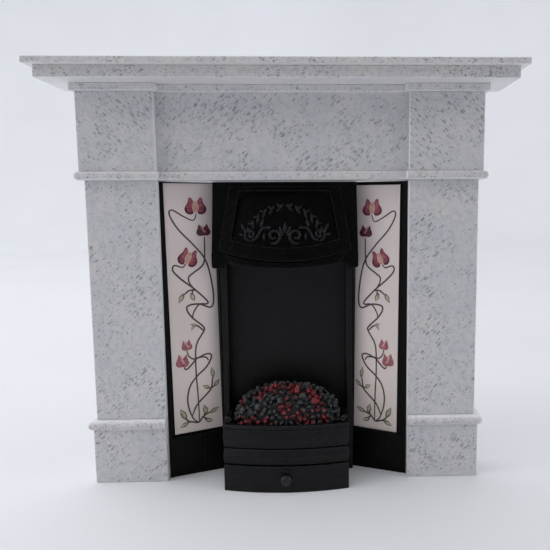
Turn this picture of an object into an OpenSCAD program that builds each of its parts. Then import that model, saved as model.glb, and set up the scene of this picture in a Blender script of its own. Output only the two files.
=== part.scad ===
// Doll's house fireplace, 1:24 scale: a plain mantel surround, a splayed tiled insert
// under a bowed hood, and a bow-fronted fire basket with its ash pan and coals.
// Millimetres, +Z up. The origin is on the floor, at the middle of the flat back,
// so the wall is the plane y = 0 and the room is on the -Y side.

/* [Mantel shelf and cornice] */
// Height of the whole mantel
mantel_h = 54.2; // [53:0.1:56]
// Width of the shelf
shelf_w = 60; // [59.4:0.1:62]
// Depth of the shelf from the wall
shelf_d = 10.2; // [9.8:0.1:11]
// Thickness of the shelf
shelf_t = 0.8; // [0.6:0.05:1]
// How far the cornice slab steps back from the shelf's edge
cornice_step = 0.95; // [0.7:0.05:1.2]
// Thickness of the cornice slab
cornice_t = 1.45; // [1.2:0.05:1.7]
// How far the bed mould stands out from the faces below it
bed_out = 0.5; // [0.3:0.05:0.7]
// Height of the bed mould
bed_h = 0.95; // [0.7:0.05:1.2]

/* [Frieze] */
// Distance from the centre to the outer side of a frieze block
block_x = 25.7; // [25.4:0.1:26]
// Depth of a frieze block from the wall
block_d = 5.75; // [5.5:0.05:6]
// Depth of the frieze panel from the wall
frieze_d = 4.8; // [4.5:0.05:5.1]
// Length of the tongue that keys the panel into each block
tongue_l = 1.2; // [0.8:0.1:2]
// Thickness of that tongue
tongue_t = 1.6; // [1:0.1:2.2]
// Height of the round necking mould
necking_h = 1.1; // [0.9:0.05:1.3]
// How far the necking mould stands out from the faces above it
necking_out = 0.6; // [0.4:0.05:0.7]

/* [Jambs and plinths] */
// Half the width of the opening between the jambs
opening_x = 16.1; // [15.9:0.05:16.3]
// Height of the opening
opening_h = 40.05; // [39.6:0.05:40.4]
// Distance from the centre to the outer side of a jamb
jamb_x = 25.2; // [24.9:0.1:25.4]
// Depth of a jamb from the wall
jamb_d = 5.28; // [5.1:0.02:5.4]
// Height of the plinth mould's top above the floor
plinth_top = 8.65; // [8:0.05:9.2]
// Height of the plinth mould
plinth_mould_h = 1.3; // [1:0.05:1.5]
// How far the plinth stands out beside the jamb
plinth_side_out = 0.46; // [0.2:0.02:0.6]
// How far the plinth stands out in front of the jamb
plinth_front_out = 0.2; // [0.1:0.02:0.4]
// How far the plinth mould stands out from the plinth
plinth_mould_out = 0.65; // [0.4:0.05:0.7]

/* [Splayed cheeks and tiles] */
// Angle of each cheek to the wall
cheek_angle = 22; // [20:0.5:23]
// Depth of the cheek's outer edge from the wall
cheek_d = 4.4; // [4.3:0.05:4.6]
// Thickness of a cheek
cheek_t = 0.9; // [0.8:0.05:1]
// Height of the insert
insert_h = 39.9; // [39.4:0.05:40]
// Width of the rim along the cheek's outer edge
cheek_rim = 0.5; // [0.4:0.05:0.6]
// Height of the plain rail below the tiles, at its outer end
rail_h = 5.5; // [5.2:0.05:6]
// How much higher the rail is at its inner end
rail_rise = 0.25; // [0:0.05:0.4]
// Thickness of the lip above the tiles
top_lip = 0.15; // [0.1:0.05:0.3]
// Depth of the tile recess
recess_d = 0.5; // [0.4:0.05:0.6]
// Gap between the rim and a tile panel's upper corner
tile_gap = 0.35; // [0.3:0.05:0.5]
// How far both tile panels are pushed to the left
tile_skew = 0.28; // [0:0.02:0.3]
// How far a tile panel's outer edge leans inwards on its way down
tile_lean = 0.35; // [0:0.05:0.5]
// Gap between a tile panel and the stile beside it
tile_clear = 0.15; // [0.05:0.05:0.3]
// Height of a tile panel
tile_h = 33.95; // [33.5:0.05:33.95]
// Thickness of a tile panel
tile_t = 0.15; // [0.1:0.05:0.3]
// How much higher the left tile panel sits than the right one
tile_lift = 0.3; // [0:0.05:0.3]

/* [Fire opening and hood] */
// Half the clear width between the opening's stiles
fire_x = 8; // [7.95:0.05:8.1]
// Distance from the centre to the outer side of a stile, at its top
stile_x = 9.45; // [9.4:0.05:9.6]
// How much narrower a stile is at its foot
stile_taper = 0.45; // [0:0.05:0.5]
// How far the stiles and the hood sit to the left
insert_skew = 0.1; // [0:0.02:0.15]
// Depth of a stile's bead from the wall
stile_d = 2.5; // [2.3:0.05:2.6]
// Thickness of the fireback
fireback_t = 0.5; // [0.4:0.05:0.6]
// Thickness of the hood plate
hood_plate_t = 0.7; // [0.6:0.05:0.8]
// Height of the hood's feet above the floor
hood_z = 28.5; // [28:0.1:29]
// How far the hood's middle stands out at its foot
hood_out = 2.2; // [2:0.1:2.4]
// Radius of the hood's bow in plan
hood_bow_r = 40; // [36:1:48]
// Depth of the hood's sunk panel at its top
hood_recess = 0.6; // [0.5:0.05:0.65]
// Depth of the hood's sunk panel at its foot
hood_recess_foot = 0.1; // [0.1:0.05:0.3]
// How far the skirt stays behind the lip above it
skirt_recess = 0.4; // [0.3:0.05:0.5]
// Height of the groove under that lip
lip_groove = 0.28; // [0.2:0.02:0.3]

/* [Fire basket] */
// Half the width of the basket
basket_x = 8.15; // [8.1:0.05:8.3]
// Depth of the basket's middle from the wall
basket_d = 9.44; // [9.2:0.05:9.7]
// How far the basket's front bows out
basket_bow = 1.05; // [0.8:0.05:1.2]
// Height of the basket
basket_h = 8.9; // [8.7:0.05:9.2]
// Height of the ash pan's front
pan_h = 3.5; // [3.4:0.05:3.6]
// Height of the joint between the basket's two bars
bar_split = 5.78; // [5.6:0.02:5.9]
// Height of the groove between one bar and the next
bar_groove = 0.2; // [0.1:0.02:0.24]
// Thickness of a bar
bar_t = 0.55; // [0.5:0.05:0.6]
// How far a bar swells between its edges
bar_swell = 0.2; // [0.1:0.05:0.25]
// Height of the coals' crown
coal_top = 13.4; // [12.8:0.1:14]

/* [Hidden] */

marble = "gainsboro";
iron = [0.12, 0.12, 0.13];
tile = "linen";
coal = [0.3, 0.08, 0.08];
curve_fn = 96;
small_fn = 32;
reach = 200;                       // longer than anything it has to cut
layer = 0.01;                      // thickness of one slice of a lofted shape

// Heights, from the top down
shelf_z = mantel_h - shelf_t;
cornice_z = shelf_z - cornice_t;
bed_z = cornice_z - bed_h;
frieze_z = opening_h + necking_h;
frieze_h = bed_z - frieze_z;
plinth_mould_z = plinth_top - plinth_mould_h;

// Plinth
plinth_x = jamb_x + plinth_side_out;
plinth_d = jamb_d + plinth_front_out;

// Running clearance of the loose parts
slack = 0.08;

// A copy on each side, or on one side only: side is -1 for left and 1 for right
module on_side(side) {
    mirror([side < 0 ? 1 : 0, 0, 0]) children();
}

// A block against the wall between two x positions
module wall_block(x0, x1, depth, z, h) {
    translate([x0, -depth, z]) cube([x1 - x0, depth, h]);
}

// ---------- the surround ----------

module mantel_shelf() {
    color(marble) wall_block(-shelf_w / 2, shelf_w / 2, shelf_d, shelf_z, shelf_t);
}

module cornice_slab() {
    half = shelf_w / 2 - cornice_step;
    color(marble) wall_block(-half, half, shelf_d - cornice_step, cornice_z, cornice_t);
}

// The bed mould breaks forward over the two blocks
module bed_mould() {
    color(marble) union() {
        wall_block(-block_x, block_x, frieze_d + bed_out, bed_z, bed_h);
        for (side = [-1, 1]) on_side(side)
            wall_block(opening_x - bed_out, block_x + bed_out, block_d + bed_out, bed_z, bed_h);
    }
}

// Where the panel's tongue goes into a block
module frieze_tongue() {
    translate([opening_x - layer, -(frieze_d + tongue_t) / 2, frieze_z])
        cube([tongue_l + layer, tongue_t, frieze_h]);
}

module frieze_panel() {
    color(marble) union() {
        wall_block(-opening_x, opening_x, frieze_d, frieze_z, frieze_h);
        for (side = [-1, 1]) on_side(side) frieze_tongue();
    }
}

module frieze_block(side) {
    color(marble) on_side(side) difference() {
        wall_block(opening_x, block_x, block_d, frieze_z, frieze_h);
        frieze_tongue();
    }
}

module frieze_block_left() { frieze_block(-1); }
module frieze_block_right() { frieze_block(1); }

// A slab whose front and outer side are rounded to half its height
module bullnose(x0, x1, depth, z, h) {
    r = h / 2;
    translate([x0, -depth + r, z]) cube([x1 - x0 - r, depth - r, h]);
    translate([x0, -depth + r, z + r]) rotate([0, 90, 0])
        cylinder(r = r, h = x1 - x0 - r, $fn = small_fn);
    translate([x1 - r, 0, z + r]) rotate([90, 0, 0])
        cylinder(r = r, h = depth - r, $fn = small_fn);
    translate([x1 - r, -depth + r, z + r]) sphere(r = r, $fn = small_fn);
}

// The round mould under the frieze, which breaks forward under the blocks too
module necking_mould() {
    front = frieze_d + necking_out;
    r = necking_h / 2;
    color(marble) union() {
        wall_block(-opening_x, opening_x, front - r, opening_h, necking_h);
        translate([-opening_x, -front + r, opening_h + r]) rotate([0, 90, 0])
            cylinder(r = r, h = 2 * opening_x, $fn = small_fn);
        for (side = [-1, 1]) on_side(side)
            bullnose(opening_x - necking_out / 2, block_x + necking_out, block_d + necking_out,
                opening_h, necking_h);
    }
}

module jamb(side) {
    color(marble) on_side(side)
        wall_block(opening_x, jamb_x, jamb_d, plinth_top, opening_h - plinth_top);
}

module jamb_left() { jamb(-1); }
module jamb_right() { jamb(1); }

module plinth_mould(side) {
    color(marble) on_side(side)
        bullnose(opening_x, plinth_x + plinth_mould_out, plinth_d + plinth_mould_out,
            plinth_mould_z, plinth_mould_h);
}

module plinth_mould_left() { plinth_mould(-1); }
module plinth_mould_right() { plinth_mould(1); }

module plinth(side) {
    color(marble) on_side(side)
        wall_block(opening_x, plinth_x, plinth_d, 0, plinth_mould_z);
}

module plinth_left() { plinth(-1); }
module plinth_right() { plinth(1); }

// ---------- the insert ----------

module fireback() {
    color(iron) wall_block(-stile_x, stile_x, fireback_t, 0, insert_h);
}

// Distance from the centre to a stile's outer side, at height z
function stile_edge(side, z) = stile_x - side * insert_skew - stile_taper * (1 - z / insert_h);

// A front outline, drawn in x and z, given depth towards the room
module facing(depth) {
    rotate([90, 0, 0]) linear_extrude(height = depth) children();
}

// Length of a cheek's face at the floor
cheek_l = (opening_x - stile_x + stile_taper) / cos(cheek_angle);

// Place along a cheek where a tile panel's face meets the plane x
function cheek_u(x) = (opening_x - x + (recess_d - tile_t) * sin(cheek_angle)) / cos(cheek_angle);

// Height of the rail's upper edge at place u along the cheek
function rail_at(u) = rail_h + rail_rise * (u - cheek_rim) / (cheek_l - cheek_rim);

// An outline drawn on the right-hand cheek, u inwards along it and z up, given thickness
// from the level v towards the room
module on_cheek(v, thickness) {
    translate([opening_x, -cheek_d, 0]) rotate([0, 0, 180 - cheek_angle])
        translate([0, v + thickness, 0]) rotate([90, 0, 0])
            linear_extrude(height = thickness) children();
}

// The splayed cheek: rail below, rim outside and lip above the sunk tile
module cheek(side) {
    color(iron) on_side(side) intersection() {
        difference() {
            on_cheek(-cheek_t, cheek_t) translate([-1, 0]) square([cheek_l + 2, insert_h]);
            on_cheek(-recess_d, recess_d + 1) polygon([
                [cheek_rim, rail_at(cheek_rim)], [cheek_l + 1, rail_at(cheek_l + 1)],
                [cheek_l + 1, insert_h - top_lip], [cheek_rim, insert_h - top_lip]
            ]);
        }
        facing(jamb_d) polygon([
            [stile_edge(side, 0), 0], [opening_x, 0],
            [opening_x, insert_h], [stile_edge(side, insert_h), insert_h]
        ]);
    }
}

module cheek_left() { cheek(-1); }
module cheek_right() { cheek(1); }

module tile_panel(side) {
    lift = side < 0 ? tile_lift : 0;
    outer = cheek_rim + tile_gap + side * tile_skew;
    inner_foot = cheek_u(stile_edge(side, rail_h)) - tile_clear;
    color(tile) on_side(side) on_cheek(-recess_d, tile_t) translate([0, lift]) polygon([
        [outer + tile_lean, rail_at(outer + tile_lean)], [inner_foot, rail_at(inner_foot)],
        [cheek_u(stile_edge(side, insert_h)) - tile_clear, rail_h + tile_h],
        [outer, rail_h + tile_h]
    ]);
}

module tile_panel_left() { tile_panel(-1); }
module tile_panel_right() { tile_panel(1); }

// Plan of a stile: a flat bead beside the opening, a quirk and an outer flat
module stile_plan(outer_x) {
    bead_w = 0.9;
    bead_r = 0.2;
    quirk_w = 0.12;
    quirk_d = 0.4;
    flat_x = fire_x + bead_w + quirk_w;
    flat_d = stile_d - 0.15;
    translate([fire_x, quirk_d - stile_d])
        square([outer_x - fire_x, stile_d - quirk_d - fireback_t]);
    translate([fire_x, bead_r - stile_d]) square([bead_w, quirk_d]);
    translate([fire_x + bead_r, -stile_d]) square([bead_w - 2 * bead_r, quirk_d]);
    for (x = [fire_x + bead_r, fire_x + bead_w - bead_r])
        translate([x, bead_r - stile_d]) circle(r = bead_r, $fn = small_fn);
    translate([flat_x, -flat_d]) square([outer_x - flat_x, quirk_d]);
}

// The moulded edge of the fire opening, narrower towards the floor
module opening_stile(side) {
    color(iron) on_side(side) intersection() {
        linear_extrude(height = insert_h) stile_plan(stile_edge(side, insert_h));
        facing(stile_d + 1) polygon([
            [0, 0], [stile_edge(side, 0), 0], [stile_edge(side, insert_h), insert_h],
            [0, insert_h]
        ]);
    }
}

module opening_stile_left() { opening_stile(-1); }
module opening_stile_right() { opening_stile(1); }

// ---------- the hood ----------

plate_front = stile_d + hood_plate_t;
foot_w = 1.45;                     // width of each foot of the hood plate
foot_r = 0.35;                     // rounding of a foot's outer corner
plate_arch = 0.7;                  // height of the plate's lower edge above its feet
skirt_z = hood_z + plate_arch;
plate_top_x = 9.45;
plate_foot_x = 9.77;
canopy_top = insert_h - 0.65;
canopy_side_z = 31;
canopy_top_x = 7.3;
canopy_foot_x = 8.72;
canopy_drop = 1.45;                // how much lower the canopy's edge is in its middle
canopy_top_out = 0.75;             // how far the canopy's top stands out from the plate
canopy_h = canopy_top - canopy_side_z + canopy_drop;
sunk_top = canopy_top - 0.55;
sunk_side_z = 32.35;
sunk_top_x = 5.95;
sunk_foot_x = 7.1;
sunk_drop = 1.05;
relief = 0.3;                      // height of the scrollwork above the sunk panel

// Radius of the arc that drops by sag at the middle of a chord of half-width half
function arc_r(half, sag) = (half * half + sag * sag) / (2 * sag);

// Four-sided outline, wider at its foot, with an arc of short chords for its lower edge
module bellied_outline(top_x, top_z, foot_x, foot_z, drop) {
    r = arc_r(foot_x, drop);
    half_angle = asin(foot_x / r);
    chords = 24;
    polygon([
        [-top_x, top_z], [top_x, top_z],
        for (i = [chords:-2:-chords])
            let (a = half_angle * i / chords)
                [r * sin(a), foot_z - drop + r * (1 - cos(a))]
    ]);
}

// Everything behind the hood's bowed and sloping front, sunk by one amount at the
// canopy's top and by another at its foot
module behind_hood_front(top_sunk, foot_sunk) {
    top_out = canopy_top_out - top_sunk;
    slope = atan((hood_out - foot_sunk - top_out) / canopy_h);
    translate([0, -plate_front - top_out, canopy_top]) rotate([-slope, 0, 0])
        translate([0, hood_bow_r, 0])
            cylinder(r = hood_bow_r, h = reach, center = true, $fn = 4 * curve_fn);
}

module hood_foot(side) {
    foot_x = plate_foot_x - side * insert_skew;
    on_side(side) {
        translate([foot_x - foot_w, hood_z + foot_r]) square([foot_w, plate_arch + 1]);
        translate([foot_x - foot_w, hood_z]) square([foot_w - foot_r, 1]);
        translate([foot_x - foot_r, hood_z + foot_r]) circle(r = foot_r, $fn = small_fn);
    }
}

module canopy_outline() {
    bellied_outline(canopy_top_x, canopy_top, canopy_foot_x, canopy_side_z, canopy_drop);
}

module sunk_outline() {
    bellied_outline(sunk_top_x, sunk_top, sunk_foot_x, sunk_side_z, sunk_drop);
}

// The skirt that hangs below the canopy's lip, with a groove between the two
module skirt_outline() {
    skirt_half = 7;
    skirt_drop = 0.6;
    difference() {
        bellied_outline(canopy_foot_x - 0.2, canopy_side_z, skirt_half, skirt_z, skirt_drop);
        translate([0, -lip_groove]) canopy_outline();
    }
}

// The hood plate: flat behind, with a bowed belly, a skirt below it and two feet
module hood_plate() {
    belly_back = stile_d + hood_plate_t / 2;
    color(iron) union() {
        translate([0, -stile_d, 0]) facing(hood_plate_t) {
            polygon([
                [-plate_top_x, insert_h], [plate_top_x, insert_h],
                [plate_foot_x - insert_skew, skirt_z], [-plate_foot_x - insert_skew, skirt_z]
            ]);
            hood_foot(-1);
            hood_foot(1);
        }
        intersection() {
            translate([0, -belly_back, 0]) facing(hood_out + hood_plate_t) canopy_outline();
            behind_hood_front(hood_recess, hood_recess_foot);
        }
        intersection() {
            translate([0, -belly_back, 0]) facing(hood_out + hood_plate_t) skirt_outline();
            behind_hood_front(skirt_recess, skirt_recess);
        }
    }
}

// The raised frame on the hood's belly
module hood_canopy() {
    color(iron) intersection() {
        difference() {
            translate([0, -plate_front, 0]) facing(hood_out + 1) difference() {
                canopy_outline();
                sunk_outline();
            }
            behind_hood_front(hood_recess, hood_recess_foot);
        }
        behind_hood_front(0, 0);
    }
}

// Points on a spiral about [x, z], from radius r0 at angle a0 to radius r1 at angle a1
function spiral(x, z, r0, r1, a0, a1, steps = 26) = [
    for (i = [0:steps])
        let (t = i / steps, a = a0 + (a1 - a0) * t, r = r0 + (r1 - r0) * t)
            [x + r * cos(a), z + r * sin(a)]
];

// The unit normal of a line through points, at point i
function normal(points, i) =
    let (a = points[max(i - 1, 0)], b = points[min(i + 1, len(points) - 1)],
        d = (b - a) / norm(b - a))
        [-d[1], d[0]];

// A ribbon along points, w0 wide where it starts and w1 where it ends
module ribbon(points, w0, w1) {
    last = len(points) - 1;
    polygon([
        for (i = [0:last]) points[i] + normal(points, i) * (w0 + (w1 - w0) * i / last) / 2,
        for (i = [last:-1:0]) points[i] - normal(points, i) * (w0 + (w1 - w0) * i / last) / 2
    ]);
}

// A pointed leaf of a given length and width that starts at [x, z] and points along angle a
module leaf(x, z, a, length, width) {
    r = (length * length + width * width) / (4 * width);
    translate([x, z]) rotate(a) translate([length / 2, 0]) intersection() {
        translate([0, r - width / 2]) circle(r = r, $fn = curve_fn);
        translate([0, width / 2 - r]) circle(r = r, $fn = curve_fn);
    }
}

// Right-hand half of the scrollwork: two scrolls, their stems and an arch of leaves
module scrollwork_half() {
    scroll_z = 32.85;
    ribbon(spiral(1.45, scroll_z, 0.15, 1.05, 200, 700), 0.3, 0.42);
    ribbon(spiral(4.5, scroll_z + 0.15, 0.12, 0.8, 20, -430), 0.26, 0.36);
    ribbon(spiral(2.95, scroll_z + 0.1, 1.15, 1.0, 150, 15, 12), 0.42, 0.3);
    leaf(0.28, scroll_z + 0.1, 75, 1.3, 0.45);
    leaf(3.6, scroll_z + 1.1, 120, 1.4, 0.5);
    leaf(5.2, scroll_z + 0.6, 60, 1.1, 0.4);
    for (i = [0:4]) {
        a = 86 - 15 * i;
        leaf(4.9 * cos(a), 31.6 + 4.6 * sin(a), a - 120, 0.85, 0.42);
        leaf(4.9 * cos(a), 31.6 + 4.6 * sin(a), a - 35, 0.75, 0.38);
    }
}

// The cast scrollwork that lies on the hood's sunk panel
module hood_ornament() {
    color(iron) intersection() {
        difference() {
            translate([0, -plate_front, 0]) facing(hood_out + 1) {
                leaf(0, 33.3, 90, 1.5, 0.5);
                scrollwork_half();
                mirror([1, 0]) scrollwork_half();
            }
            behind_hood_front(hood_recess, hood_recess_foot);
        }
        behind_hood_front(hood_recess - relief, hood_recess_foot - relief);
    }
}

// ---------- the fire basket ----------

basket_back = stile_d + slack;     // where the wide part stands clear of the stiles
tail_x = basket_x - bar_t;         // half the width of the part inside the opening
tail_back = fireback_t + slack;
liner_t = 0.45;
grate_t = 0.6;
rim_h = 0.45;                      // height of the rim along the top bar
rim_z = basket_h - rim_h;
rim_groove = 0.12;                 // height of the groove under the rim
pan_draw = 0.05;                   // how far the ash pan's face stays behind the bars
pan_front_t = 0.8;
pan_side_x = 6.2;
pan_back = 1.2;                    // how far the pan's back stays from the wall
leg_t = 0.9;
knob_r = 0.72;
knob_z = 1.9;

// Plan of the basket: bowed front and straight sides, all drawn in by an amount
module basket_plan(inset) {
    r = arc_r(basket_x, basket_bow);
    intersection() {
        translate([0, r - basket_d]) circle(r = r - inset, $fn = 4 * curve_fn);
        translate([inset - basket_x, -basket_d])
            square([2 * (basket_x - inset), basket_d - basket_back]);
    }
}

// Plan of the part of the basket that stands between the stiles
module tail_plan(inset) {
    translate([inset - tail_x, -basket_back - 1])
        square([2 * (tail_x - inset), basket_back + 1 - tail_back - inset]);
}

// Plan of a band round the basket's front and sides, its face drawn in by an amount
module band_plan(draw) {
    difference() {
        basket_plan(draw);
        band_hollow();
    }
}

// What every band leaves free for the liner
module band_hollow() {
    basket_plan(bar_t);
    translate([bar_t - basket_x, -basket_back - 1]) square([2 * (basket_x - bar_t), 2]);
}

// A slice of the basket's whole plan at height z
module basket_slice(z, draw) {
    translate([0, 0, z]) linear_extrude(height = layer) basket_plan(draw);
}

// One bar round the basket's front and sides, swollen between its edges
module bar(z, h, foot_draw, middle_draw, top_draw) {
    difference() {
        hull() {
            basket_slice(z, foot_draw);
            basket_slice(z + h / 2, middle_draw);
            basket_slice(z + h - layer, top_draw);
        }
        translate([0, 0, z - 1]) linear_extrude(height = h + 2) band_hollow();
    }
}

// The liner that holds the coals, its grate, and the legs it stands on
module basket_body() {
    color(iron) union() {
        difference() {
            translate([0, 0, pan_h + slack]) linear_extrude(height = basket_h - pan_h - 0.6)
                union() {
                    basket_plan(bar_t);
                    tail_plan(0);
                }
            translate([0, 0, pan_h + slack + grate_t]) linear_extrude(height = basket_h)
                union() {
                    basket_plan(bar_t + liner_t);
                    tail_plan(liner_t);
                }
        }
        for (side = [-1, 1]) on_side(side)
            translate([tail_x - leg_t, slack - basket_d + basket_bow + pan_front_t, 0])
                cube([leg_t, basket_d - basket_bow - pan_front_t - slack - tail_back,
                    pan_h + slack + grate_t / 2]);
    }
}

module basket_mid_bar() {
    mid_z = pan_h + bar_groove;
    color(iron) bar(mid_z, bar_split - bar_groove / 2 - mid_z, bar_swell, 0, bar_swell);
}

// The top bar, with the thin square rim along its upper edge
module basket_top_bar() {
    top_z = bar_split + bar_groove / 2;
    core_draw = bar_swell;
    color(iron) union() {
        bar(top_z, rim_z - rim_groove - top_z, bar_swell, 0, bar_swell / 2);
        translate([0, 0, rim_z - 2 * rim_groove]) linear_extrude(height = 3 * rim_groove)
            band_plan(core_draw);
        translate([0, 0, rim_z]) linear_extrude(height = rim_h) band_plan(0);
    }
}

// The small curled lugs at the two ends of the rim
module basket_finials() {
    curl_r = 0.42;
    curl_x = basket_x - bar_t / 2 - curl_r;
    curl_t = 0.5;
    front = basket_d - basket_bow - 0.2;
    color(iron) for (side = [-1, 1]) on_side(side)
        translate([curl_x, -front + curl_t, basket_h + curl_r]) rotate([90, 0, 0]) {
            cylinder(r = curl_r, h = curl_t, $fn = small_fn);
            translate([0, -curl_r, 0]) cube([curl_r, curl_r, curl_t]);
        }
}

// The ash pan: a bowed front that stands on the floor, and an open tray behind it
module ash_pan() {
    tray_top = pan_h - 0.9;
    color(iron) union() {
        difference() {
            linear_extrude(height = pan_h) basket_plan(pan_draw);
            translate([0, pan_front_t, -1]) linear_extrude(height = pan_h + 2)
                basket_front_cut();
        }
        difference() {
            translate([-pan_side_x, -basket_d + basket_bow + 0.2, 0.1])
                cube([2 * pan_side_x, basket_d - basket_bow - 0.2 - pan_back, tray_top]);
            translate([0.4 - pan_side_x, -basket_d + basket_bow + 0.2 + pan_front_t, 0.5])
                cube([2 * pan_side_x - 0.8,
                    basket_d - basket_bow - 0.6 - pan_front_t - pan_back, tray_top]);
        }
    }
}

// Everything behind the inner face of the ash pan's front
module basket_front_cut() {
    r = arc_r(basket_x, basket_bow);
    intersection() {
        translate([0, r - basket_d]) circle(r = r, $fn = 4 * curve_fn);
        translate([-basket_x - 1, -basket_d]) square([2 * basket_x + 2, basket_d + 1]);
    }
}

// A small turned knob on a short neck
module ash_pan_knob() {
    neck_l = 0.25;
    color(iron) translate([0, pan_draw + layer - basket_d, knob_z]) rotate([90, 0, 0]) rotate_extrude($fn = 48)
        union() {
            square([knob_r * 0.5, neck_l + 0.1]);
            intersection() {
                translate([0, neck_l + knob_r * 0.45]) circle(r = knob_r, $fn = 48);
                translate([0, neck_l]) square([knob_r, knob_r * 0.9]);
            }
        }
}

// The lumps of coal, in rings that climb to the crown
module coal_lumps(centre_y, z) {
    ring_count = [16, 13, 9, 5];
    ring_spread = [1, 0.82, 0.58, 0.3];
    ring_rise = [0, 1.6, 2.9, 3.7];
    for (ring = [0:3], i = [0:ring_count[ring] - 1]) {
        a = 360 * i / ring_count[ring] + 17 * ring;
        size = 1.55 + 0.35 * sin(137 * (i + 5 * ring));
        translate([6.3 * ring_spread[ring] * cos(a), centre_y + 2.9 * ring_spread[ring] * sin(a),
                z + ring_rise[ring]])
            rotate([51 * i, 37 * i + 20 * ring, 73 * i]) cube(size, center = true);
    }
}

// The coals: a base that fills the liner, and a dome of loose lumps
module coal_bed() {
    gap = bar_t + liner_t + slack;
    base_z = pan_h + slack + grate_t;
    base_h = basket_h - base_z - 0.5;
    dome_y = -4.6;
    color(coal) intersection() {
        union() {
            translate([-basket_x, -basket_d, base_z]) cube([2 * basket_x, basket_d, base_h]);
            hull() {
                translate([-6, dome_y - 2, base_z + base_h - layer]) cube([12, 4, layer]);
                translate([-2.2, dome_y - 1.2, coal_top - 0.9]) cube([4.4, 2.4, layer]);
            }
            coal_lumps(dome_y, base_z + base_h + 0.1);
        }
        translate([0, 0, base_z]) linear_extrude(height = coal_top - base_z) union() {
            basket_plan(gap);
            tail_plan(liner_t + slack);
        }
    }
}

mantel_shelf();
cornice_slab();
bed_mould();
frieze_panel();
frieze_block_left();
frieze_block_right();
necking_mould();
jamb_left();
jamb_right();
plinth_mould_left();
plinth_mould_right();
plinth_left();
plinth_right();
fireback();
cheek_left();
cheek_right();
tile_panel_left();
tile_panel_right();
opening_stile_left();
opening_stile_right();
hood_plate();
hood_canopy();
hood_ornament();
basket_body();
basket_mid_bar();
basket_top_bar();
basket_finials();
ash_pan();
ash_pan_knob();
coal_bed();
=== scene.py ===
"""Looks for the 1:24 fireplace: a stone-effect surround, a tiled black insert, a fire basket and coals."""

import math
import random

import bmesh
import bpy
from mathutils import Euler, Matrix, Vector, noise
from mathutils.geometry import tessellate_polygon


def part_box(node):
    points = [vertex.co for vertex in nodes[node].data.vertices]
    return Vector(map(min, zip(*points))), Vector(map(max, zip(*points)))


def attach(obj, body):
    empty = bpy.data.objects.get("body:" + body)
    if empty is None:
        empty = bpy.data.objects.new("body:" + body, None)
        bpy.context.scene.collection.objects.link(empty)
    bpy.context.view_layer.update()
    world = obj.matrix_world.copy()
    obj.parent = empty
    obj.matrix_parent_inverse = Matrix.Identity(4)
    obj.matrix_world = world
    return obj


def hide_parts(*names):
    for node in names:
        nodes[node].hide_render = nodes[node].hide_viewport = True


MM = 0.001

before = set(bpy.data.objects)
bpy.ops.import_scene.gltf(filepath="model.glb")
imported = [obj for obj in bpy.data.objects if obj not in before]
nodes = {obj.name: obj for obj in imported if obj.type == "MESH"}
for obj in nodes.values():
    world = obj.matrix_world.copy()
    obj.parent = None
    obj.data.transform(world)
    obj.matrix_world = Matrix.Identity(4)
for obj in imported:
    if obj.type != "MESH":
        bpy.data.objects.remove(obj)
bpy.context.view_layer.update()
scene = bpy.context.scene


# ---------- node materials ----------


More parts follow.
